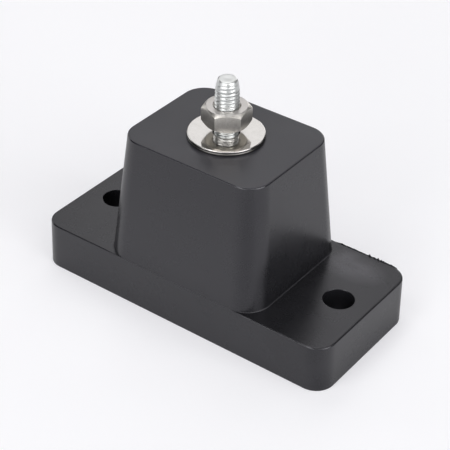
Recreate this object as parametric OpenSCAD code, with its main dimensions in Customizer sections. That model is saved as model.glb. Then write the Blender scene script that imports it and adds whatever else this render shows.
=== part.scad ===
// Anti-vibration mounting bracket.
// A moulded rubber foot with two fixing holes and a tapered block on its middle.
// A hexagon bolt is moulded into the block, head down, and its threaded end stands out of the top.
// A large washer lies on the block and a hexagon nut hangs on the thread above it.
// The origin is the middle of the underside, +X runs along the foot and +Z is up.
// Lengths are in millimetres and angles in degrees.

/* [Base] */
// Length of the base along its underside
base_l = 137; // [130:0.5:160]
// Width of the base
base_w = 61.6; // [56:0.2:72]
// Thickness of the base
base_t = 20.2; // [14:0.2:28]
// Radius of the base's upright corners
base_corner_r = 8; // [4:0.5:14]
// Draft of the two short ends, from upright
end_draft = 1.5; // [0:0.25:4]

/* [Block] */
// Height of the block's top above the underside
block_top_z = 72; // [60:0.5:80]
// Length of the block where it meets the top of the base
block_foot_l = 72.8; // [68:0.2:80]
// Length of the block at its top
block_top_l = 63.6; // [50:0.2:67]
// Width of the block at its top
block_top_w = 51.4; // [44:0.2:55]
// Radius of the block's upright corners at the foot
block_foot_r = 10.8; // [7:0.2:16]
// Radius of the block's upright corners at the top
block_top_r = 9.4; // [6:0.2:14]
// How far below the base's top edge the block's broad faces start
crease_drop = 0.8; // [0.7:0.1:2]

/* [Moulded edges] */
// Radius of the rounded top edges of the base and the block
edge_r = 0.6; // [0.3:0.1:1.2]
// Radius of the fillet where the block's narrow sides meet the base
foot_fillet_r = 0.4; // [0.3:0.1:2.5]

/* [Fixing holes] */
// Diameter of the two fixing holes
hole_d = 12.2; // [8:0.2:14]
// Distance between the two fixing holes' axes
hole_pitch = 109.2; // [102:0.2:114]

/* [Bolt] */
// Outside diameter over the crests of the M10 thread
thread_d = 9.6; // [7.8:0.1:11.8]
// Length of the bolt under its head
bolt_l = 50; // [42:1:60]
// How far the bolt stands out of the block's top
stud_rise = 24.5; // [22:0.5:35]
// Height of the bolt's head
head_h = 6.4; // [4:0.2:8]
// Width across the flats of the bolt's head and of the nut, for a 17 mm spanner
wrench_size = 16.8; // [15:0.2:22]
// Length of the tapered lead at the bolt's tip
lead_l = 4.5; // [1:0.1:6]
// Diameter of the bolt's tip, at the end of the lead
tip_d = 7.7; // [6:0.1:7.8]
// Chamfer round the bolt's flat tip
tip_chamfer = 0.6; // [0.2:0.1:0.9]

/* [Washer] */
// Outside diameter of the washer
washer_d = 30; // [24:0.5:40]
// Thickness of the washer
washer_t = 1.8; // [1:0.1:3]
// Play between the washer's hole and the thread, on the diameter
washer_play = 0.7; // [0.4:0.1:1.5]

/* [Nut] */
// Height of the nut
nut_h = 7.6; // [5:0.2:10]
// Gap between the washer's top and the nut's underside
nut_gap = 3.9; // [0.5:0.1:6]
// Turn of the nut about the bolt, counted from a corner that points along +X
nut_turn = -21.5; // [-30:0.5:30]
// Play between the nut's bore and the thread's crests, on the diameter
nut_play = 0.1; // [0.05:0.05:0.3]
// Depth of the countersinks at both ends of the nut's bore
nut_countersink = 0.5; // [0.2:0.1:0.8]
// Angle of the chamfer on hexagon corners, from the flat face
hex_chamfer_angle = 35; // [20:1:36]
// Diameter of a hexagon's round face, as a share of the width across the flats
hex_face_share = 0.94; // [0.85:0.01:0.96]

/* [Hidden] */
// Faces of every round surface
$fn = 96;
// Steps round each corner of a moulded outline
corner_steps = 12;
// Steps round a rounded edge or a fillet
edge_steps = 4;
// How far cutting tools run past the faces that they cut
cut_over = 1;

base_end_lean = tan(end_draft);
block_h = block_top_z - base_t;
// Lean of the block's narrow sides and broad faces, per millimetre of height
side_lean = (block_foot_l - block_top_l) / 2 / block_h;
face_lean = (base_w - block_top_w) / 2 / (block_h + crease_drop);
corner_lean = (block_foot_r - block_top_r) / block_h;

washer_top_z = block_top_z + washer_t;
nut_z = washer_top_z + nut_gap;
stud_tip_z = block_top_z + stud_rise;
under_head_z = stud_tip_z - bolt_l;

// A rounded rectangle's corner points, counter-clockwise from the +X side
function outline(half_l, half_w, r) = [
    for (quarter = [0:3], step = [0:corner_steps])
        let (
            side_x = quarter == 0 || quarter == 3 ? 1 : -1,
            side_y = quarter < 2 ? 1 : -1,
            turn = 90 * (quarter + step / corner_steps)
        )
        [side_x * (half_l - r) + r * cos(turn), side_y * (half_w - r) + r * sin(turn)]
];

// A section of the block at height z, widened along X by flare
function block_section(z, flare = 0, inset = 0) = [
    z,
    block_foot_l / 2 - side_lean * (z - base_t) + flare - inset,
    base_w / 2 - face_lean * (z - base_t + crease_drop) - inset,
    block_foot_r - corner_lean * (z - base_t) + flare - inset
];

// A section of the base at height z, drawn in by inset
function base_section(z, inset = 0) = [
    z,
    base_l / 2 - base_end_lean * z - inset,
    base_w / 2 - inset,
    base_corner_r - inset
];

// A skin over sections, lowest first, each [height, half length, half width, corner radius]
module loft(sections) {
    per_ring = 4 * (corner_steps + 1);
    rings = len(sections);
    points = [for (s = sections) for (p = outline(s[1], s[2], s[3])) [p[0], p[1], s[0]]];
    bottom = [for (i = [0:per_ring - 1]) i];
    top = [for (i = [per_ring - 1:-1:0]) (rings - 1) * per_ring + i];
    walls = [
        for (ring = [0:rings - 2], i = [0:per_ring - 1])
            let (low = ring * per_ring, next = (i + 1) % per_ring)
            [low + i, low + per_ring + i, low + per_ring + next, low + next]
    ];
    polyhedron(points = points, faces = concat([bottom, top], walls));
}

// The slab, with drafted ends and a rounded top edge
module base_form() {
    edge = [
        for (step = [0:edge_steps])
            let (turn = 90 * step / edge_steps)
            base_section(base_t - edge_r + edge_r * sin(turn), edge_r * (1 - cos(turn)))
    ];
    loft(concat([base_section(0)], edge));
}

// The block, which leans in on all sides, with a fillet along the foot of its narrow sides.
// Its broad faces run out into the base's own, so no fillet is left there.
module block_form() {
    fillet = [
        for (step = [0:edge_steps])
            let (turn = 90 * step / edge_steps)
            block_section(
                base_t + foot_fillet_r * (1 - cos(turn)),
                flare = foot_fillet_r * (1 - sin(turn))
            )
    ];
    edge = [
        for (step = [0:edge_steps])
            let (turn = 90 * step / edge_steps)
            block_section(
                block_top_z - edge_r + edge_r * sin(turn),
                inset = edge_r * (1 - cos(turn))
            )
    ];
    loft(concat([block_section(base_t - crease_drop)], fillet, edge));
}

// One fixing hole through the base
module fixing_hole() {
    translate([0, 0, -cut_over])
        cylinder(d = hole_d, h = base_t + 2 * cut_over);
}

// A hexagon with its corners chamfered at the faces that are asked for, standing on z = 0
module hexagon(h, chamfer_low = true, chamfer_high = true) {
    corner_r = wrench_size / sqrt(3);
    face_r = hex_face_share * wrench_size / 2;
    drop = (corner_r - face_r) * tan(hex_chamfer_angle);
    low_r = chamfer_low ? face_r : corner_r;
    high_r = chamfer_high ? face_r : corner_r;
    intersection() {
        cylinder(r = corner_r, h = h, $fn = 6);
        rotate_extrude()
            polygon([[0, 0], [low_r, 0], [corner_r, drop], [corner_r, h - drop], [high_r, h], [0, h]]);
    }
}

// The bolt's whole form, which the rubber is moulded round
module bolt_form() {
    translate([0, 0, under_head_z - head_h])
        hexagon(head_h, chamfer_high = false);
    translate([0, 0, under_head_z])
        cylinder(d = thread_d, h = bolt_l - lead_l);
    translate([0, 0, stud_tip_z - lead_l])
        cylinder(d1 = thread_d, d2 = tip_d, h = lead_l - tip_chamfer);
    translate([0, 0, stud_tip_z - tip_chamfer])
        cylinder(d1 = tip_d, d2 = tip_d - 2 * tip_chamfer, h = tip_chamfer);
}

module rubber_body() {
    color([0.16, 0.16, 0.17])
        difference() {
            union() {
                base_form();
                block_form();
            }
            for (side = [-1, 1])
                translate([side * hole_pitch / 2, 0, 0])
                    fixing_hole();
            bolt_form();
        }
}

module moulded_in_bolt() {
    color([0.82, 0.83, 0.85])
        bolt_form();
}

module flat_washer() {
    color([0.88, 0.88, 0.88])
        translate([0, 0, block_top_z])
            difference() {
                cylinder(d = washer_d, h = washer_t);
                translate([0, 0, -cut_over])
                    cylinder(d = thread_d + washer_play, h = washer_t + 2 * cut_over);
            }
}

module hex_nut() {
    bore_d = thread_d + nut_play;
    mouth_d = bore_d + 2 * nut_countersink;
    color([0.66, 0.64, 0.62])
        translate([0, 0, nut_z])
            rotate([0, 0, nut_turn])
                difference() {
                    hexagon(nut_h);
                    translate([0, 0, -cut_over])
                        cylinder(d = bore_d, h = nut_h + 2 * cut_over);
                    cylinder(d1 = mouth_d, d2 = bore_d, h = nut_countersink);
                    translate([0, 0, nut_h - nut_countersink])
                        cylinder(d1 = bore_d, d2 = mouth_d, h = nut_countersink);
                }
}

rubber_body();
moulded_in_bolt();
flat_washer();
hex_nut();
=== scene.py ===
"""Looks of an anti-vibration mounting bracket: a moulded rubber foot with a
bolt moulded into it, a polished washer and a hexagon nut.

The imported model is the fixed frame. Every piece below is a surface worked out
with numpy in millimetres and put into a mesh in metres. It replaces the CAD
node of the same part and stays inside that node's space.
"""
import math

import bmesh
import bpy
import numpy as np
from mathutils import Matrix


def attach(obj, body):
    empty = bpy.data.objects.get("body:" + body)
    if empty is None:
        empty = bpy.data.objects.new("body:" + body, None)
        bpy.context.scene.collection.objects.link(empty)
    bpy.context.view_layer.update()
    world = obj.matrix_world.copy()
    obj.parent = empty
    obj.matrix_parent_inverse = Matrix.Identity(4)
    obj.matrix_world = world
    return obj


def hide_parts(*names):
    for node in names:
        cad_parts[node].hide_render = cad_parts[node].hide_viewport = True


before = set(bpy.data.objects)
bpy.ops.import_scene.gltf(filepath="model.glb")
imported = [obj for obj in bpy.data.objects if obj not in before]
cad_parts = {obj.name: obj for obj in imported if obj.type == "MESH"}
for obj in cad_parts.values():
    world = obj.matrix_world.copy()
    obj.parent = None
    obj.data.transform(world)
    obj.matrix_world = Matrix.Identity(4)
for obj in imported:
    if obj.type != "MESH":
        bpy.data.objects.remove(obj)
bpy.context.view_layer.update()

MM = 0.001

# Sizes of the moulded foot, in millimetres
BASE_L, BASE_W, BASE_T = 137.0, 61.6, 20.2
BASE_CORNER_R = 8.0
END_LEAN = math.tan(math.radians(1.5))
BLOCK_TOP_Z = 72.0
BLOCK_FOOT_L, BLOCK_TOP_L, BLOCK_TOP_W = 72.8, 63.6, 51.4
BLOCK_FOOT_R, BLOCK_TOP_R = 10.8, 9.4
CREASE_DROP = 0.8
EDGE_R, FOOT_FILLET_R, SHARP_R = 0.6, 0.4, 0.2
HOLE_PITCH, HOLE_R, HOLE_MOUTH_R = 109.2, 6.1, 6.4
HOLE_X = HOLE_PITCH / 2

# Sizes of the bolt, washer and nut, in millimetres
PITCH = 1.5
SHANK_R, CREST_R, ROOT_R, TIP_R, TIP_EDGE = 4.8, 4.76, 4.30, 3.85, 0.8
LEAD_FALL, LEAD_MARK = 2.4, 0.10
STUD_RISE, THREAD_SUNK, BOLT_L, HEAD_H = 24.5, 0.6, 50.0, 6.4
STUD_TIP_Z, STUD_LOW_Z = BLOCK_TOP_Z + STUD_RISE, BLOCK_TOP_Z - THREAD_SUNK
UNDER_HEAD_Z = STUD_TIP_Z - BOLT_L
HEAD_LOW_Z = UNDER_HEAD_Z - HEAD_H
WRENCH_SIZE, HEAD_CORNER_R, NUT_CORNER_R = 16.8, 0.3, 0.35
WASHER_R, WASHER_PLAY, WASHER_T = 15.0, 0.35, 1.8
WASHER_HOLE_R = SHANK_R + WASHER_PLAY
NUT_GAP, NUT_H, NUT_TURN = 3.9, 7.6, -21.5
NUT_Z = BLOCK_TOP_Z + WASHER_T + NUT_GAP
NUT_MOUTH_R, NUT_MOUTH_SLOPE, NUT_PLAY, NUT_CREST_R = 5.4, 1.15, 0.1, ROOT_R + 0.22
HEX_FACE_R = 0.94 * WRENCH_SIZE / 2
HEX_CHAMFER = math.tan(math.radians(35))


# Surfaces

def across(grid, wrap_columns=False, keep=None):
    """A grid's corners and its quads, each corner with the next row's and column's.
    The last column can be joined to the first, and keep picks the quads that stay."""
    rows, columns = grid.shape[:2]
    index = np.arange(rows * columns).reshape(rows, columns)
    if wrap_columns:
        index = np.concatenate([index, index[:, :1]], axis=1)
    quads = np.stack([index[:-1, :-1], index[:-1, 1:], index[1:, 1:], index[1:, :-1]], axis=-1)
    quads = quads.reshape(-1, 4) if keep is None else quads[keep]
    return grid.reshape(-1, 3), quads


def solid(name, patches, node, materials, smooth_angle=40):
    """Sews patches of corners and quads, in millimetres, into one closed mesh.

    Corners that meet are joined, quads that have shrunk to a line go, and the
    faces are turned outwards. A patch with a third item has the material of
    that number, and any other has the first.
    """
    corners, quads, numbers, count = [], [], [], 0
    for patch_corners, patch_quads, *number in patches:
        corners.append(patch_corners)
        quads.append(patch_quads + count)
        numbers.append(np.full(len(patch_quads), number[0] if number else 0))
        count += len(patch_corners)
    corners = np.concatenate(corners) * MM
    quads = np.concatenate(quads)
    mesh = bpy.data.meshes.new(name)
    mesh.from_pydata(corners.tolist(), [], quads.tolist())
    for material in materials:
        mesh.materials.append(material)
    mesh.polygons.foreach_set("material_index", np.concatenate(numbers))
    work = bmesh.new()
    work.from_mesh(mesh)
    bmesh.ops.remove_doubles(work, verts=work.verts, dist=0.002 * MM)
    bmesh.ops.recalc_face_normals(work, faces=work.faces)
    work.to_mesh(mesh)
    work.free()
    mesh.shade_smooth()
    mesh.set_sharp_from_angle(angle=math.radians(smooth_angle))
    piece = bpy.data.objects.new(name, mesh)
    bpy.context.scene.collection.objects.link(piece)
    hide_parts(node)
    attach(piece, "root")


def ease(share):
    """A share from 0 to 1 that starts and stops gently: 3s squared less 2s cubed."""
    share = np.clip(share, 0.0, 1.0)
    return share * share * (3.0 - 2.0 * share)


def spun(profile, angles):
    """A profile of (radius, height) points carried round the stud's axis."""
    profile = np.asarray(profile, dtype=float)
    radius, height = profile[:, :1], profile[:, 1:]
    turn = angles[None, :]
    return np.stack([radius * np.cos(turn), radius * np.sin(turn), height + 0.0 * turn], axis=-1)


def softened(profile, size, steps=4):
    """Rounds each inner corner of a polyline, or of many side by side.

    Each corner P gives way to the curve that leaves the line `size` before P,
    is pulled towards P and meets the line again `size` after it:
    (1-s)^2 A + 2s(1-s) P + s^2 B, with s from 0 to 1.
    The last axis holds coordinates and the first runs along the line.
    """
    profile = np.asarray(profile, dtype=float)
    before, corner, after = profile[:-2], profile[1:-1], profile[2:]
    back, ahead = before - corner, after - corner
    back_length = np.linalg.norm(back, axis=-1, keepdims=True)
    ahead_length = np.linalg.norm(ahead, axis=-1, keepdims=True)
    reach = np.minimum(size, 0.45 * np.minimum(back_length, ahead_length))
    start = corner + back * reach / np.maximum(back_length, 1e-9)
    stop = corner + ahead * reach / np.maximum(ahead_length, 1e-9)
    share = np.linspace(0.0, 1.0, steps + 1).reshape((-1,) + (1,) * profile.ndim)
    curve = (1 - share) ** 2 * start + 2 * share * (1 - share) * corner + share ** 2 * stop
    curve = np.moveaxis(curve, 0, 1).reshape((-1,) + profile.shape[1:])
    return np.concatenate([profile[:1], curve, profile[-1:]])


# The moulded rubber

# Columns run round the foot. One quarter is worked out, from the middle of the
# +X side to the middle of the +Y side, and mirrored to the other three. Along
# it the block has a straight side, an upright corner and a broad face. The
# base has its own corner in the first columns of the block's.
SIDE_CELLS, CORNER_CELLS, BASE_ARC_CELLS, BROAD_CELLS = 24, 26, 10, 12
QUARTER = SIDE_CELLS + CORNER_CELLS + BROAD_CELLS

step = np.arange(QUARTER + 1)
side_share = np.clip(step / SIDE_CELLS, 0, 1)
block_turn = np.radians(90) * np.clip((step - SIDE_CELLS) / CORNER_CELLS, 0, 1)
base_turn = np.radians(90) * np.clip((step - SIDE_CELLS) / BASE_ARC_CELLS, 0, 1)
broad_share = np.clip((QUARTER - step) / BROAD_CELLS, 0, 1)
on_base_edge = step > SIDE_CELLS + BASE_ARC_CELLS


def block_ring(z, flare=0.0, inset=0.0):
    """The block's outline at height z, which leans in as it rises: a straight,
    a quarter circle and a straight. Flare widens it along X, inset draws it in."""
    lean = (z - BASE_T) / (BLOCK_TOP_Z - BASE_T)
    half_l = (BLOCK_FOOT_L + (BLOCK_TOP_L - BLOCK_FOOT_L) * lean) / 2 + flare - inset
    rise = (z - BASE_T + CREASE_DROP) / (BLOCK_TOP_Z - BASE_T + CREASE_DROP)
    half_w = (BASE_W + (BLOCK_TOP_W - BASE_W) * rise) / 2 - inset
    r = BLOCK_FOOT_R + (BLOCK_TOP_R - BLOCK_FOOT_R) * lean + flare - inset
    x = (half_l - r) * broad_share + r * np.cos(block_turn)
    y = (half_w - r) * side_share + r * np.sin(block_turn)
    return np.stack([x, y, z + 0 * x], axis=-1)


# Where each column meets the long edge of the base: spread out towards the
# base's corner, and drawn together where the block runs out into its face
foot = block_ring(BASE_T, flare=FOOT_FILLET_R)
arc_end = SIDE_CELLS + BASE_ARC_CELLS
to_run_out = np.clip((SIDE_CELLS + CORNER_CELLS - step) / (CORNER_CELLS - BASE_ARC_CELLS), 0, 1)
long_edge_end = BASE_L / 2 - BASE_CORNER_R - END_LEAN * BASE_T
long_edge_x = foot[:, 0] + (long_edge_end - foot[arc_end, 0]) * to_run_out ** 2

# The base's rounded edge shrinks to the faint crease as the block's face comes to it
face_gap = BASE_W / 2 - foot[:, 1]
crease_depth = face_gap[-1]
bare = np.where(on_base_edge, ease((face_gap - crease_depth) / 1.2), 1.0)
edge_in = crease_depth + (EDGE_R - crease_depth) * bare
edge_down = CREASE_DROP + (EDGE_R - CREASE_DROP) * bare


def base_ring(z, inset):
    """The base's outline at height z, drawn in by inset: a straight, a quarter circle
    and a straight."""
    half_l = BASE_L / 2 - END_LEAN * z
    r = BASE_CORNER_R - inset
    x = half_l - BASE_CORNER_R + r * np.cos(base_turn)
    y = (BASE_W / 2 - BASE_CORNER_R) * side_share + r * np.sin(base_turn)
    x = np.where(on_base_edge, long_edge_x, x)
    y = np.where(on_base_edge, BASE_W / 2 - inset, y)
    return np.stack([x, y, z + 0 * x], axis=-1)


def between(start, stop, shares):
    """Rings that go in a straight line from one ring to another."""
    shares = np.asarray(shares).reshape(-1, 1, 1)
    return start + (stop - start) * shares


def all_round(quarter):
    """Mirrors rings of one quarter to the other three, in order round the foot."""
    flip_x, flip_y = np.array([-1, 1, 1]), np.array([1, -1, 1])
    backwards = quarter[:, ::-1]
    return np.concatenate([
        quarter[:, :-1],
        (backwards * flip_x)[:, :-1],
        (quarter * flip_x * flip_y)[:, :-1],
        (backwards * flip_y)[:, :-1],
    ], axis=1)


def quarter_arc(steps):
    """Pairs of shares that go from 0 to 1 along a quarter circle, the first slowly
    and the second fast at the start: 1 - cos and sin of 0 to 90 degrees."""
    turn = np.radians(90) * np.linspace(0, 1, steps + 1)
    return list(zip(1 - np.cos(turn), np.sin(turn)))


def circle_ring(angle, r, z):
    """Points at height z round the origin, where r is one radius or one for each angle."""
    return np.stack([r * np.cos(angle), r * np.sin(angle), z + 0 * angle], axis=-1)


def hexagon_radius(angle, apothem, corner_r):
    """Distance from the middle to a hexagon with rounded corners, a corner at angle 0.

    On a flat it is the apothem over the cosine of the angle from the flat's
    middle. Near a corner it is where the line meets the corner's small circle.
    """
    from_corner = (angle + np.radians(30)) % np.radians(60) - np.radians(30)
    from_flat = np.radians(30) - np.abs(from_corner)
    centre = (apothem - corner_r) / math.cos(math.radians(30))
    on_corner = from_flat > math.atan((apothem - corner_r) * math.tan(math.radians(30)) / apothem)
    root = np.sqrt(np.maximum(corner_r ** 2 - (centre * np.sin(from_corner)) ** 2, 0))
    return np.where(on_corner, centre * np.cos(from_corner) + root, apothem / np.cos(from_flat))


# The part of the grid that is left open round each fixing hole: its rows, half
# its columns, and where it starts and ends on the way from the block to the edge
WINDOW_ROWS, WINDOW_COLUMNS = 12, 11
WINDOW_FROM, WINDOW_TO = 0.282, 0.859


def foot_rings():
    """The foot's skin as rings, from the middle of the bolt's seat up through the
    block's top, out over the block and the base, and in to the underside's middle.
    Gives the rings, and the first row of the upper and of the lower windows."""
    top_edge = block_ring(BLOCK_TOP_Z, inset=EDGE_R)
    angle = np.arctan2(top_edge[:, 1], top_edge[:, 0])
    head = hexagon_radius(angle, WRENCH_SIZE / 2, HEAD_CORNER_R)
    hole_top = circle_ring(angle, SHANK_R, BLOCK_TOP_Z)
    rings = [
        circle_ring(angle, 0, HEAD_LOW_Z)[None],
        circle_ring(angle, head, HEAD_LOW_Z)[None],
        circle_ring(angle, head, UNDER_HEAD_Z)[None],
        circle_ring(angle, SHANK_R, UNDER_HEAD_Z)[None],
        between(hole_top, top_edge, [0, 0.02, 0.2, 0.4, 0.6, 0.8, 0.97]),
    ]
    for slow, fast in quarter_arc(8):
        rings.append(block_ring(BLOCK_TOP_Z - EDGE_R * slow, inset=EDGE_R * (1 - fast))[None])
    fillet_top = BASE_T + FOOT_FILLET_R
    for z in np.linspace(BLOCK_TOP_Z - EDGE_R - 0.4, fillet_top + 0.4, 12):
        rings.append(block_ring(z)[None])
    for slow, fast in quarter_arc(8):
        z = fillet_top - FOOT_FILLET_R * fast
        rings.append(block_ring(z, flare=FOOT_FILLET_R * slow)[None])
    window_shares = np.linspace(WINDOW_FROM, WINDOW_TO, WINDOW_ROWS + 1)
    near_block, near_edge = [0.012, 0.09, 0.18], [0.92, 0.988]
    window_top = sum(len(r) for r in rings) + len(near_block)
    shelf = base_ring(BASE_T, edge_in)
    rings.append(between(foot, shelf, np.concatenate([near_block, window_shares, near_edge])))
    for slow, fast in quarter_arc(8):
        rings.append(base_ring(BASE_T - edge_down * slow, edge_in * (1 - fast))[None])
    for z in np.linspace(BASE_T - CREASE_DROP - 0.3, SHARP_R + 0.3, 9):
        rings.append(base_ring(z, 0)[None])
    for slow, fast in quarter_arc(3):
        rings.append(base_ring(SHARP_R * (1 - fast), SHARP_R * slow)[None])
    under_edge = base_ring(0, SHARP_R)
    under_block = foot * [1, 0.86, 0]
    near_edge, near_block = [0.012, 0.08], [0.82, 1.0]
    window_low = sum(len(r) for r in rings) + len(near_edge)
    under_shares = np.concatenate([near_edge, 1 - window_shares[::-1], near_block])
    rings.append(between(under_edge, under_block, under_shares))
    rings.append(between(under_block, 0 * under_block, [0.3, 0.6, 0.85, 1.0]))
    return all_round(np.concatenate(rings)), window_top, window_low


def window_loop(rings, first_row, middle):
    """The corners round one window, by its first row and its middle column."""
    rows = first_row + np.arange(WINDOW_ROWS + 1)
    columns = middle + np.arange(-WINDOW_COLUMNS, WINDOW_COLUMNS + 1)
    row_path = np.concatenate([
        np.full(len(columns) - 1, rows[0]), rows[:-1],
        np.full(len(columns) - 1, rows[-1]), rows[:0:-1],
    ])
    column_path = np.concatenate([
        columns[:-1], np.full(len(rows) - 1, columns[-1]),
        columns[:0:-1], np.full(len(rows) - 1, columns[0]),
    ])
    return rings[row_path, column_path % rings.shape[1]]


def fixing_hole(top_loop, low_loop, side):
    """A bore from the upper window's loop to the lower one's: the flat round it,
    its rounded mouth, its wall and the flat below."""
    centre = np.array([side * HOLE_X, 0, 0])
    angle = np.arctan2(top_loop[:, 1], top_loop[:, 0] - centre[0])
    mouth = HOLE_MOUTH_R - HOLE_R

    def level(r, z):
        return centre + circle_ring(angle, r, z)

    rings = [between(top_loop, level(HOLE_MOUTH_R, BASE_T), [0, 0.35, 0.7, 0.95])]
    for slow, fast in quarter_arc(5):
        rings.append(level(HOLE_MOUTH_R - mouth * fast, BASE_T - mouth * slow)[None])
    wall = between(level(HOLE_R, BASE_T - mouth), level(HOLE_R, SHARP_R), [0.04, 0.35, 0.7, 1])
    rings.append(wall)
    rings.append(between(level(HOLE_R + SHARP_R, 0), low_loop, [0, 0.3, 0.65, 1]))
    return across(np.concatenate(rings), wrap_columns=True)


# The mould flash, in millimetres: where it runs along x, how high its lip is and
# by how much that varies, and for each torn tab its place, height and half width
FLASH_START, FLASH_STOP = 33.5, 62.0
FLASH_LIP, FLASH_UNEVEN, FLASH_SWAY = 0.36, 0.12, 0.04
FLASH_TABS = (
    (36.3, 0.15, 0.8), (42.4, 0.25, 0.35), (49.4, 0.65, 0.36),
    (51.8, 0.25, 0.5), (53.4, 0.75, 0.34), (54.8, 0.65, 0.30),
    (55.9, 0.45, 0.26), (57.0, 0.25, 0.3), (59.5, 0.40, 0.35),
)
# Its section, from inside the base over the lip and back: how far it is out from
# the back face, and how high. Above 0 that is a share of the lip's own height.
FLASH_SECTION = (
    (-0.42, -0.25), (-0.26, 0.0), (-0.14, 0.8), (-0.06, 1.0), (0.0, 0.8), (0.0, 0.0), (0.0, -0.9),
)


def mould_flash():
    """Thin ragged skin of rubber left along the base's back edge, where the mould closed.

    Its height along x is a low lip with small random steps and a few torn tabs,
    each a bell curve, and it fades out at both ends. Its section is a narrow wedge.
    """
    x = np.linspace(FLASH_START, FLASH_STOP, 460)
    draw = np.random.default_rng(11)
    knots = np.linspace(x[0], x[-1], 80)
    steps = draw.uniform(-FLASH_UNEVEN, FLASH_UNEVEN, len(knots))
    height = FLASH_LIP + np.interp(x, knots, steps)
    for place, tall, wide in FLASH_TABS:
        height += tall * np.exp(-((x - place) / wide) ** 2)
    height = height * ease((x - x[0]) / 3.0) * ease((x[-1] - x) / 2.0)
    sway = np.interp(x, knots, draw.uniform(-FLASH_SWAY, FLASH_SWAY, len(knots)))
    out, up = np.array(FLASH_SECTION).T[:, :, None]
    y = BASE_W / 2 - FLASH_SWAY + out - np.abs(sway) * (up > 0)
    rise = np.where(up > 0, up * height, up)
    foot_z = BASE_T - 0.12
    skin = np.stack([x + 0 * y, y + 0 * x, foot_z + rise + 0 * x], axis=-1)
    ends = skin.mean(axis=0, keepdims=True)
    skin = np.concatenate([skin, skin[:1]])
    level = 0 * skin[:, :1]
    closed = np.concatenate([ends[:, :1] + level, skin, ends[:, -1:] + level], axis=1)
    return (*across(closed), 1)


def rubber_foot(materials):
    """The skin with its windows left open, a bore in each pair of windows, and the
    mould flash, which has the second of the materials."""
    rings, window_top, window_low = foot_rings()
    rows, columns = rings.shape[:2]
    keep = np.ones((rows - 1, columns), dtype=bool)
    holes = []
    for middle, side in ((0, 1), (2 * QUARTER, -1)):
        cells = (middle + np.arange(-WINDOW_COLUMNS, WINDOW_COLUMNS)) % columns
        for first in (window_top, window_low):
            keep[first:first + WINDOW_ROWS, cells] = False
        top, low = [window_loop(rings, first, middle) for first in (window_top, window_low)]
        # The rings come back underneath, so the lower loop runs the other way round.
        # It is turned to match, and starts next to the upper one's first corner.
        nearest = np.argmin(np.linalg.norm(low[:, :2] - top[0, :2], axis=1))
        holes.append(fixing_hole(top, np.roll(low[::-1], nearest + 1, axis=0), side))
    skin = across(rings, wrap_columns=True, keep=keep)
    solid("moulded_rubber_foot", [skin, *holes, mould_flash()],
          "rubber_body", materials)


# The fasteners

# Cells in one turn of the stud, of the nut and of the washer, and in one pitch
TURN_CELLS, NUT_CELLS, WASHER_CELLS, PROFILE_CELLS = 96, 144, 192, 20
# Half of the crest's flat and the width of a flank, as shares of a pitch, and how
# much of the flank's curve is straight
CREST_FLAT, FLANK_WIDTH, FLANK_STRAIGHT = 0.05, 0.36, 0.6


def thread_depth(share):
    """Depth of the thread across one pitch, 0 on the crest and 1 in the root.

    From the crest's flat it goes down a flank to the root's, part of the way
    straight and the rest with both ends rounded off.
    """
    from_crest = np.abs((share + 0.5) % 1.0 - 0.5)
    flank = np.clip((from_crest - CREST_FLAT) / FLANK_WIDTH, 0, 1)
    return FLANK_STRAIGHT * flank + (1 - FLANK_STRAIGHT) * ease(flank)


def helix(first_angle, low_z, high_z, turn_cells, radius_at):
    """A right-hand thread: one pitch's profile carried along a helix.

    A corner at angle a and share w of a pitch has the height PITCH * (a / 360
    degrees + w). Heights past either end are held at the end. The radius comes
    from radius_at(height, depth, at or below the low end, at or above the high end).
    """
    low_turn = math.floor(low_z / PITCH) - 2
    high_turn = math.ceil(high_z / PITCH) + 1
    cells = np.arange((high_turn - low_turn) * turn_cells + 1)
    angle = first_angle + 2 * np.pi * (low_turn + cells / turn_cells)
    share = np.linspace(0, 1, PROFILE_CELLS + 1)[:, None]
    z = PITCH * (angle[None, :] / (2 * np.pi) + share)
    r = radius_at(np.clip(z, low_z, high_z), thread_depth(share), z <= low_z, z >= high_z)
    z = np.clip(z, low_z, high_z)
    return np.stack([r * np.cos(angle), r * np.sin(angle), z], axis=-1)


def stud_radius(z, depth, below, above):
    """The crest falls away smoothly over the last millimetres to the tip's radius,
    where the thread only marks it."""
    from_tip = STUD_TIP_Z - TIP_EDGE - z
    crest = TIP_R + (CREST_R - TIP_R) * (1 - np.exp(-np.maximum(from_tip, 0) / LEAD_FALL))
    marked = crest - LEAD_MARK * depth * ease((from_tip - 0.2) / 0.8)
    cut = np.minimum(CREST_R - (CREST_R - ROOT_R) * depth, marked)
    return np.where(below, SHANK_R, np.where(above, TIP_R, cut))


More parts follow.
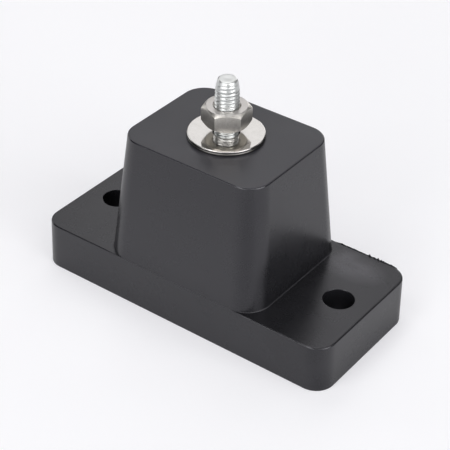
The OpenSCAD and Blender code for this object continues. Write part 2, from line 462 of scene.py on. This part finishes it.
def threaded_bolt(material):
    """The stud's thread with its rounded tip, dished a little in the middle, and
    inside the rubber a plain shank and a hexagon head."""
    angles = 2 * np.pi * np.arange(TURN_CELLS) / TURN_CELLS
    stud = helix(0.0, STUD_LOW_Z, STUD_TIP_Z - TIP_EDGE, TURN_CELLS, stud_radius)
    rim = [(TIP_R - TIP_EDGE * slow, STUD_TIP_Z - TIP_EDGE * (1 - fast))
           for slow, fast in quarter_arc(8)]
    dish = [(2.4, 0), (1.6, 0), (0.9, -0.05), (0, -0.08)]
    tip = rim + [(r, STUD_TIP_Z + z) for r, z in dish]
    shank = [(SHANK_R, STUD_LOW_Z), (SHANK_R, UNDER_HEAD_Z)]
    head_r = hexagon_radius(angles, WRENCH_SIZE / 2, HEAD_CORNER_R)
    rows = [
        circle_ring(angles, SHANK_R, UNDER_HEAD_Z),
        circle_ring(angles, head_r, UNDER_HEAD_Z),
        circle_ring(angles, head_r, HEAD_LOW_Z + (head_r - HEX_FACE_R) * HEX_CHAMFER),
        circle_ring(angles, HEX_FACE_R, HEAD_LOW_Z),
        circle_ring(angles, 0, HEAD_LOW_Z),
    ]
    solid("threaded_bolt", [
        across(stud),
        across(spun(tip, angles), wrap_columns=True),
        across(spun(shank, angles), wrap_columns=True),
        across(np.stack(rows), wrap_columns=True),
    ], "moulded_in_bolt", [material], smooth_angle=50)


def nut_bore_radius(z, depth, below, above):
    """The nut's thread follows the stud's with a little play, has a flat on its own
    crests and opens into both countersinks."""
    thread = np.maximum(CREST_R + NUT_PLAY - (CREST_R - ROOT_R) * depth, NUT_CREST_R)
    to_face = np.minimum(z - NUT_Z, NUT_Z + NUT_H - z)
    return np.maximum(thread, NUT_MOUTH_R - to_face * NUT_MOUTH_SLOPE)


def chamfered_nut(material):
    """A hexagon chamfered on both faces, with the thread in its bore."""
    first = math.radians(NUT_TURN)
    angles = first + 2 * np.pi * np.arange(NUT_CELLS) / NUT_CELLS
    bore = helix(first, NUT_Z, NUT_Z + NUT_H, NUT_CELLS, nut_bore_radius)
    side_r = hexagon_radius(angles - first, WRENCH_SIZE / 2, NUT_CORNER_R)
    drop = (side_r - HEX_FACE_R) * HEX_CHAMFER
    flat = 0 * angles
    outline = np.stack([np.stack([r + flat, z + flat], axis=-1) for r, z in (
        (NUT_MOUTH_R, NUT_H), (HEX_FACE_R, NUT_H), (side_r, NUT_H - drop),
        (side_r, drop), (HEX_FACE_R, 0), (NUT_MOUTH_R, 0),
    )])
    outline = softened(outline, 0.14)
    # A narrow strip round the bore keeps the faces flat to the light
    lip = np.array([0.10, 0.0])
    first_row, last_row = outline[:1], outline[-1:]
    outline = np.concatenate([first_row, first_row + lip, outline[1:-1], last_row + lip, last_row])
    skin = np.stack([
        outline[..., 0] * np.cos(angles),
        outline[..., 0] * np.sin(angles),
        NUT_Z + outline[..., 1],
    ], axis=-1)
    solid("chamfered_nut", [across(skin, wrap_columns=True), across(bore)],
          "hex_nut", [material], smooth_angle=38)


def polished_washer(material):
    """A ring whose edges are rolled over above and sharp below. Halfway down its
    punched outer edge a narrow step faces up, where the steel tore off the cut."""
    angles = 2 * np.pi * np.arange(WASHER_CELLS) / WASHER_CELLS
    low, high = BLOCK_TOP_Z, BLOCK_TOP_Z + WASHER_T
    profile = np.array([
        (10, low), (WASHER_HOLE_R, low), (WASHER_HOLE_R, high), (10, high),
        (WASHER_R - 0.10, high), (WASHER_R - 0.18, high - 0.90), (WASHER_R, high - 1.20),
        (WASHER_R, high - 1.40), (WASHER_R - 0.12, low), (10, low),
    ], dtype=float)
    rounding = np.array([[0.1], [0.3], [0.25], [0.65], [0.1], [0.1], [0.1], [0.1]])
    skin = spun(softened(profile, rounding, steps=6), angles)
    solid("polished_washer", [across(skin, wrap_columns=True)],
          "flat_washer", [material], smooth_angle=50)


# Materials

class Mixer:
    """A material's nodes: each call adds one and gives back its output."""

    def __init__(self, name):
        self.material = bpy.data.materials.new(name)
        self.material.use_nodes = True
        self.tree = self.material.node_tree
        self.tree.nodes.clear()
        self.shader = self.tree.nodes.new("ShaderNodeBsdfPrincipled")
        output = self.tree.nodes.new("ShaderNodeOutputMaterial")
        self.tree.links.new(self.shader.outputs["BSDF"], output.inputs["Surface"])
        coordinates = self.tree.nodes.new("ShaderNodeTexCoord")
        self.place = coordinates.outputs["Object"]

    def put(self, value, target):
        """Links a value's output to a socket, or sets the socket to a plain value."""
        if isinstance(value, bpy.types.NodeSocket):
            self.tree.links.new(value, target)
        else:
            target.default_value = value

    def set(self, socket, value):
        self.put(value, self.shader.inputs[socket])

    def stretched(self, scale):
        """The place with each axis scaled. A small scale draws a pattern out."""
        node = self.tree.nodes.new("ShaderNodeMapping")
        node.inputs["Scale"].default_value = scale
        self.tree.links.new(self.place, node.inputs["Vector"])
        return node.outputs["Vector"]

    def noise(self, size_mm, detail=2.0, roughness=0.5, vector=None):
        node = self.tree.nodes.new("ShaderNodeTexNoise")
        node.inputs["Scale"].default_value = 1.0 / (size_mm * MM)
        node.inputs["Detail"].default_value = detail
        node.inputs["Roughness"].default_value = roughness
        self.tree.links.new(vector or self.place, node.inputs["Vector"])
        return node.outputs["Fac"]

    def span(self, value, low, high, to_low=0.0, to_high=1.0):
        """Goes from to_low to to_high while the value goes from low to high."""
        node = self.tree.nodes.new("ShaderNodeMapRange")
        for index, number in enumerate((low, high, to_low, to_high)):
            node.inputs[index + 1].default_value = number
        self.tree.links.new(value, node.inputs[0])
        return node.outputs["Result"]

    def join(self, operation, first, second):
        node = self.tree.nodes.new("ShaderNodeMath")
        node.operation = operation
        for socket, value in zip(node.inputs, (first, second)):
            self.put(value, socket)
        return node.outputs["Value"]

    def plus(self, first, second):
        return self.join("ADD", first, second)

    def times(self, first, second):
        return self.join("MULTIPLY", first, second)

    def blend(self, share, first, second):
        """The first colour where the share is 0 and the second where it is 1."""
        node = self.tree.nodes.new("ShaderNodeMix")
        node.data_type = "RGBA"
        self.tree.links.new(share, node.inputs[0])
        # A Mix node's colours are its sockets 6 and 7, and the mixed one is output 2
        for socket, colour in zip((node.inputs[6], node.inputs[7]), (first, second)):
            self.put((*colour, 1.0) if isinstance(colour, tuple) else colour, socket)
        return node.outputs[2]

    def length(self, vector):
        node = self.tree.nodes.new("ShaderNodeVectorMath")
        node.operation = "LENGTH"
        self.tree.links.new(vector, node.inputs[0])
        return node.outputs["Value"]

    def from_axis(self, low, high):
        """Goes from 0 to 1 between two distances from the stud's axis, in millimetres."""
        return self.span(self.length(self.stretched((1.0, 1.0, 0.0))), low * MM, high * MM)

    def along(self, axis, low, high, to_low=0.0, to_high=1.0):
        """Goes from to_low to to_high between two places on an axis, in millimetres."""
        node = self.tree.nodes.new("ShaderNodeSeparateXYZ")
        self.tree.links.new(self.place, node.inputs[0])
        return self.span(node.outputs[axis], low * MM, high * MM, to_low, to_high)

    def band(self, low, high):
        """1 between two heights in millimetres and 0 elsewhere, with soft ends."""
        return self.times(self.along("Z", low - 0.04, low + 0.04),
                          self.along("Z", high - 0.04, high + 0.04, 1, 0))

    def patch(self, centre, reach):
        """1 in the middle of an ellipsoid, given in millimetres, and 0 from its skin outwards."""
        node = self.tree.nodes.new("ShaderNodeMapping")
        node.vector_type = "TEXTURE"
        node.inputs["Location"].default_value = [at * MM for at in centre]
        node.inputs["Scale"].default_value = [half * MM for half in reach]
        self.tree.links.new(self.place, node.inputs["Vector"])
        return self.span(self.length(node.outputs["Vector"]), 0.3, 1.0, 1.0, 0.0)

    def bump(self, height, depth_mm):
        node = self.tree.nodes.new("ShaderNodeBump")
        node.inputs["Strength"].default_value = 1.0
        node.inputs["Distance"].default_value = depth_mm * MM
        self.tree.links.new(height, node.inputs["Height"])
        self.tree.links.new(node.outputs["Normal"], self.shader.inputs["Normal"])


def moulded_black_rubber():
    """Black rubber with the fine skin of a steel mould: faint cloudy sheen and fine grain.

    The block's faces are painted a little paler than the base, palest low down, and its
    top paler still: painted light. A faint pale patch lies on the base behind the
    right-hand hole: a smudge, with its brighter sheen painted into the colour.
    """
    mix = Mixer("moulded_black_rubber")
    clouds = mix.noise(14, detail=3.0)
    grain = mix.noise(0.35, detail=2.0, roughness=0.6)
    base = mix.blend(mix.span(clouds, 0.35, 0.65), (0.008, 0.008, 0.0095), (0.010, 0.010, 0.0118))
    # Painted light by height: the block's faces are painted paler low down, its top paler still,
    # and the whole block paler than the base
    painted_tone_by_height = mix.along("Z", 40, 64)
    faces = mix.blend(painted_tone_by_height, (0.0135, 0.0135, 0.0155), (0.0105, 0.0105, 0.0125))
    on_top = mix.along("Z", BLOCK_TOP_Z - 0.4, BLOCK_TOP_Z - 0.1)
    block = mix.blend(on_top, faces, (0.0235, 0.0232, 0.0278))
    on_block = mix.along("Z", 21, 27)
    skin = mix.blend(on_block, base, block)
    # A smudge on the base behind the right-hand hole: its brighter sheen is painted into the
    # colour as a pale patch
    streaks = mix.noise(3.0, detail=2.0, vector=mix.stretched((0.3, 1.0, 1.0)))
    smudge_sheen = mix.join("MAXIMUM", mix.patch((49, 20, BASE_T), (15, 9, 3)),
                     mix.patch((43, 22, BASE_T), (7, 9, 3)))
    smudge_sheen = mix.times(smudge_sheen, mix.span(streaks, 0.3, 0.7, 0.6, 1.0))
    mix.set("Base Color", mix.blend(smudge_sheen, skin, (0.072, 0.070, 0.078)))
    # The rounded top edges came out of the mould glossiest, and the block's top
    # and the fillet round its foot dullest
    dull = mix.span(mix.plus(clouds, mix.times(grain, 0.35)), 0.45, 0.9, 0.25, 0.31)
    fillet = mix.band(BASE_T + 0.06, BASE_T + 0.45)
    duller = mix.plus(mix.times(on_top, 0.08), mix.times(fillet, 0.3))
    edges = mix.plus(mix.band(BLOCK_TOP_Z - 0.55, BLOCK_TOP_Z - 0.08),
                     mix.band(BASE_T - 0.55, BASE_T - 0.08))
    mix.set("Roughness", mix.join("SUBTRACT", mix.plus(dull, duller), mix.times(edges, 0.10)))
    mix.set("IOR", 1.65)
    mix.set("Specular Tint", (0.945, 0.932, 1.0, 1.0))
    mix.bump(grain, 0.008)
    return mix.material


def torn_rubber():
    """Torn edge of the mould flash: matt, nearly no sheen."""
    mix = Mixer("torn_rubber")
    crumbs = mix.noise(0.4, detail=3.0)
    crumbly = mix.span(crumbs, 0.35, 0.65)
    mix.set("Base Color", mix.blend(crumbly, (0.006, 0.006, 0.008), (0.011, 0.011, 0.013)))
    mix.set("Roughness", mix.span(crumbs, 0.3, 0.7, 0.8, 0.95))
    mix.set("Specular IOR Level", 0.12)
    mix.bump(crumbs, 0.05)
    return mix.material


def zinc_plated_bright():
    """Bright zinc plating over a rolled thread: silver, a little uneven, and
    brightest on the stud's flat tip."""
    mix = Mixer("zinc_plated_bright")
    patches = mix.noise(1.6, detail=3.0)
    fine = mix.noise(0.5, detail=2.0)
    plating = mix.blend(mix.span(patches, 0.3, 0.7), (0.77, 0.785, 0.78), (0.69, 0.705, 0.70))
    on_tip = mix.along("Z", STUD_TIP_Z - 0.3, STUD_TIP_Z - 0.12)
    mix.set("Metallic", 1.0)
    mix.set("Base Color", mix.blend(on_tip, plating, (0.88, 0.89, 0.885)))
    mix.set("Roughness", mix.span(patches, 0.3, 0.7, 0.31, 0.37))
    mix.bump(fine, 0.0004)
    return mix.material


def polished_steel_face():
    """Polished steel with fine marks of the polishing wheel. The punched edge is
    duller, and darker partly as painted shade. Below the step where the steel tore
    off the cut it is rougher and painted nearly black: painted shade, for the dark
    rubber mirrored in it and the washer's contact shadow."""
    mix = Mixer("polished_steel_face")
    clouds = mix.noise(3.0, detail=3.0)
    marks = mix.noise(0.25, detail=2.0, vector=mix.stretched((1.0, 0.12, 1.0)))
    punched = mix.from_axis(WASHER_R - 0.20, WASHER_R - 0.02)
    tear_z = BLOCK_TOP_Z + WASHER_T - 0.5
    torn = mix.along("Z", tear_z - 0.2, tear_z, 1, 0)
    face = mix.blend(mix.span(clouds, 0.3, 0.7), (0.81, 0.785, 0.765), (0.76, 0.735, 0.71))
    # Painted shade: the punched edge is darkened partly as shade, and the band below the step is
    # painted nearly black for the dark rubber it mirrors and the contact shadow under the washer
    cut = mix.blend(punched, face, (0.50, 0.48, 0.46))
    mix.set("Metallic", 1.0)
    mix.set("Base Color", mix.blend(torn, cut, (0.15, 0.145, 0.14)))
    duller = mix.plus(mix.times(punched, 0.12), mix.times(torn, 0.14))
    mix.set("Roughness", mix.plus(mix.span(clouds, 0.3, 0.7, 0.07, 0.12), duller))
    mix.bump(marks, 0.001)
    return mix.material


def satin_nickel_plating():
    """Warm grey nickel plating, satin, with fine tumbling marks and faint stains.
    The upper face is painted a little brighter and pinker as light, and the underside darker as
    shade."""
    mix = Mixer("satin_nickel_plating")
    stains = mix.noise(2.2, detail=4.0, roughness=0.6)
    marks = mix.noise(0.22, detail=3.0)
    mottle = mix.noise(0.75, detail=3.0, roughness=0.6)
    stained = mix.span(mix.plus(stains, mottle), 0.75, 1.25)
    body = mix.blend(stained, (0.74, 0.71, 0.672), (0.60, 0.58, 0.535))
    nut_top_z = NUT_Z + NUT_H
    # Painted light and shade: the upper face gets a brighter, pinker colour and the underside a
    # darker one
    painted_light_on_top = mix.along("Z", nut_top_z - 0.3, nut_top_z - 0.05)
    underside = mix.along("Z", NUT_Z + 0.05, NUT_Z + 0.3, 1, 0)
    body = mix.blend(painted_light_on_top, body, (0.70, 0.67, 0.65))
    mix.set("Metallic", 1.0)
    mix.set("Base Color", mix.blend(underside, body, (0.43, 0.415, 0.375)))
    mix.set("Roughness", mix.span(stains, 0.3, 0.7, 0.29, 0.38))
    mix.bump(marks, 0.003)
    return mix.material


# How much of the table's look is a plain glow, and how bright the glow is for the
# camera and in the object's sheen
GLOW_SHARE, GLOW_SEEN, GLOW_MIRRORED = 0.2, 1.95, 0.94


def pale_table():
    """Matt white table. Part of what the camera and the object's sheen see of it
    is a plain glow, so that it stays pale while the object's shadow is kept.
    In the sheen it has painted shade: darker towards the camera, which stands in its
    way, and close to the base's right end, a painted shadow of the base."""
    mix = Mixer("pale_table")
    mix.set("Roughness", 0.9)
    mix.set("Specular IOR Level", 0.1)
    nodes, links = mix.tree.nodes, mix.tree.links
    path = nodes.new("ShaderNodeLightPath")
    seen, mirrored = path.outputs["Is Camera Ray"], path.outputs["Is Glossy Ray"]
    away = nodes.new("ShaderNodeVectorMath")
    away.operation = "DISTANCE"
    away.inputs[1].default_value = (92 * MM, -120 * MM, 0.0)
    links.new(mix.place, away.inputs[0])
    # Painted shade on the table, seen only in the object's sheen: a dark patch towards the camera
    # and a painted shadow by the base's right end
    painted_camera_shade = mix.span(away.outputs["Value"], 35 * MM, 95 * MM, 0.40, 0.0)
    painted_end_shadow = mix.times(mix.along("X", 69, 81, 0.24, 0.0), mix.along("X", 62, 68))
    painted_end_shadow = mix.times(painted_end_shadow, mix.along("Y", -45, -30))
    darker = mix.times(mix.join("MAXIMUM", painted_camera_shade, painted_end_shadow), mirrored)
    mix.set("Base Color", mix.blend(darker, (0.80, 0.80, 0.804), (0.0, 0.0, 0.0)))
    glow = nodes.new("ShaderNodeEmission")
    glow.inputs["Color"].default_value = (1.0, 0.99, 1.05, 1.0)
    strength = mix.plus(mix.times(seen, GLOW_SEEN), mix.times(mirrored, GLOW_MIRRORED))
    links.new(strength, glow.inputs["Strength"])
    both = nodes.new("ShaderNodeMixShader")
    share = mix.times(mix.plus(seen, mirrored), GLOW_SHARE)
    links.new(share, both.inputs["Fac"])
    links.new(mix.shader.outputs["BSDF"], both.inputs[1])
    links.new(glow.outputs["Emission"], both.inputs[2])
    links.new(both.outputs["Shader"], nodes["Material Output"].inputs["Surface"])
    return mix.material


# The camera and the lights

# The camera, fitted to the photograph's edges: its place in metres and its lens,
# and in degrees the azimuth and elevation that it looks down from, and its roll
CAMERA_PLACE, CAMERA_LENS = (0.27005, -0.37587, 0.35841), 115.403
CAMERA_AZIMUTH, CAMERA_ELEVATION, CAMERA_ROLL = 305.630, 35.314, 1.636


def toward(azimuth, elevation):
    """The direction with this azimuth and elevation in degrees, of length 1."""
    a, e = math.radians(azimuth), math.radians(elevation)
    return np.array([math.cos(e) * math.cos(a), math.cos(e) * math.sin(a), math.sin(e)])


def hang(thing, place, azimuth, elevation, roll=0.0):
    """Puts a camera or a lamp at its place, with its back towards the azimuth and
    elevation and its right side level, then rolls it about its line of sight."""
    back = toward(azimuth, elevation)
    side = toward(azimuth + 90, 0)
    over = np.cross(back, side)
    r = math.radians(roll)
    right = side * math.cos(r) + over * math.sin(r)
    up = over * math.cos(r) - side * math.sin(r)
    rows = list(zip(right, up, back, place))
    thing.matrix_world = Matrix(rows + [(0, 0, 0, 1)])
    bpy.context.scene.collection.objects.link(thing)


def set_camera():
    """The photograph's view."""
    data = bpy.data.cameras.new("camera")
    data.sensor_fit = "HORIZONTAL"
    data.sensor_width = 36.0
    data.lens = CAMERA_LENS
    data.clip_start = 0.01
    data.clip_end = 20.0
    camera = bpy.data.objects.new("camera", data)
    hang(camera, CAMERA_PLACE, CAMERA_AZIMUTH, CAMERA_ELEVATION, CAMERA_ROLL)
    bpy.context.scene.camera = camera


# Soft panels on a dome round the table, all turned to the block's middle. Each
# row has its elevation in degrees, how many metres wide and tall its panels are,
# and by azimuth in degrees how bright each looks, where 1 is white. Azimuth 0 is
# along +X. Low on the camera's right the dome stays dark. How bright the panels
# are comes from a fit of the object's tones.
PANEL_DISTANCE, PANEL_AIM_Z = 4.0, 0.05
PANEL_ROWS = (
    (12, 1.38, 1.41, {346: 4.46, 286: 4.03, 6: 2.97, 266: 2.65,
                      106: 2.39, 246: 2.06, 186: 1.66, 166: 1.08}),
    (33, 1.18, 1.555, {326: 3.31, 6: 2.99, 346: 2.82, 266: 2.80, 306: 2.13,
                       126: 0.94, 66: 0.85, 166: 0.79, 106: 0.43, 146: 0.40}),
    (57, 1.167, 1.847, {246: 3.64, 126: 1.69, 36: 1.67, 156: 1.43}),
    (89, 2.3, 2.3, {0: 1.05}),
)


def soft_panel(azimuth, elevation, wide, tall, brightness):
    """A flat area light on the dome, which looks at the object."""
    data = bpy.data.lights.new(f"panel_{azimuth}_{elevation}", "AREA")
    data.shape = "RECTANGLE"
    data.size, data.size_y = wide, tall
    data.energy = math.pi * wide * tall * brightness
    lamp = bpy.data.objects.new(data.name, data)
    lamp.visible_camera = False
    place = toward(azimuth, elevation) * PANEL_DISTANCE + [0, 0, PANEL_AIM_Z]
    hang(lamp, place, azimuth, elevation)


def set_studio():
    """The table just below the base's underside, a nearly black sky and the panels."""
    reach, low = 20.0, -0.05 * MM
    table_mesh = bpy.data.meshes.new("table")
    table_mesh.from_pydata([(-reach, -reach, low), (reach, -reach, low), (reach, reach, low),
                            (-reach, reach, low)], [], [(0, 1, 2, 3)])
    table_mesh.materials.append(pale_table())
    table = bpy.data.objects.new("table", table_mesh)
    bpy.context.scene.collection.objects.link(table)
    world = bpy.data.worlds.new("studio")
    world.use_nodes = True
    sky = world.node_tree.nodes["Background"]
    sky.inputs["Color"].default_value = (1.0, 1.0, 1.0, 1.0)
    sky.inputs["Strength"].default_value = 0.005
    bpy.context.scene.world = world
    for elevation, wide, tall, row in PANEL_ROWS:
        for azimuth, brightness in row.items():
            soft_panel(azimuth, elevation, wide, tall, brightness)


set_camera()
set_studio()
rubber_foot([moulded_black_rubber(), torn_rubber()])
threaded_bolt(zinc_plated_bright())
polished_washer(polished_steel_face())
chamfered_nut(satin_nickel_plating())

bpy.context.scene.view_settings.view_transform = "Standard"
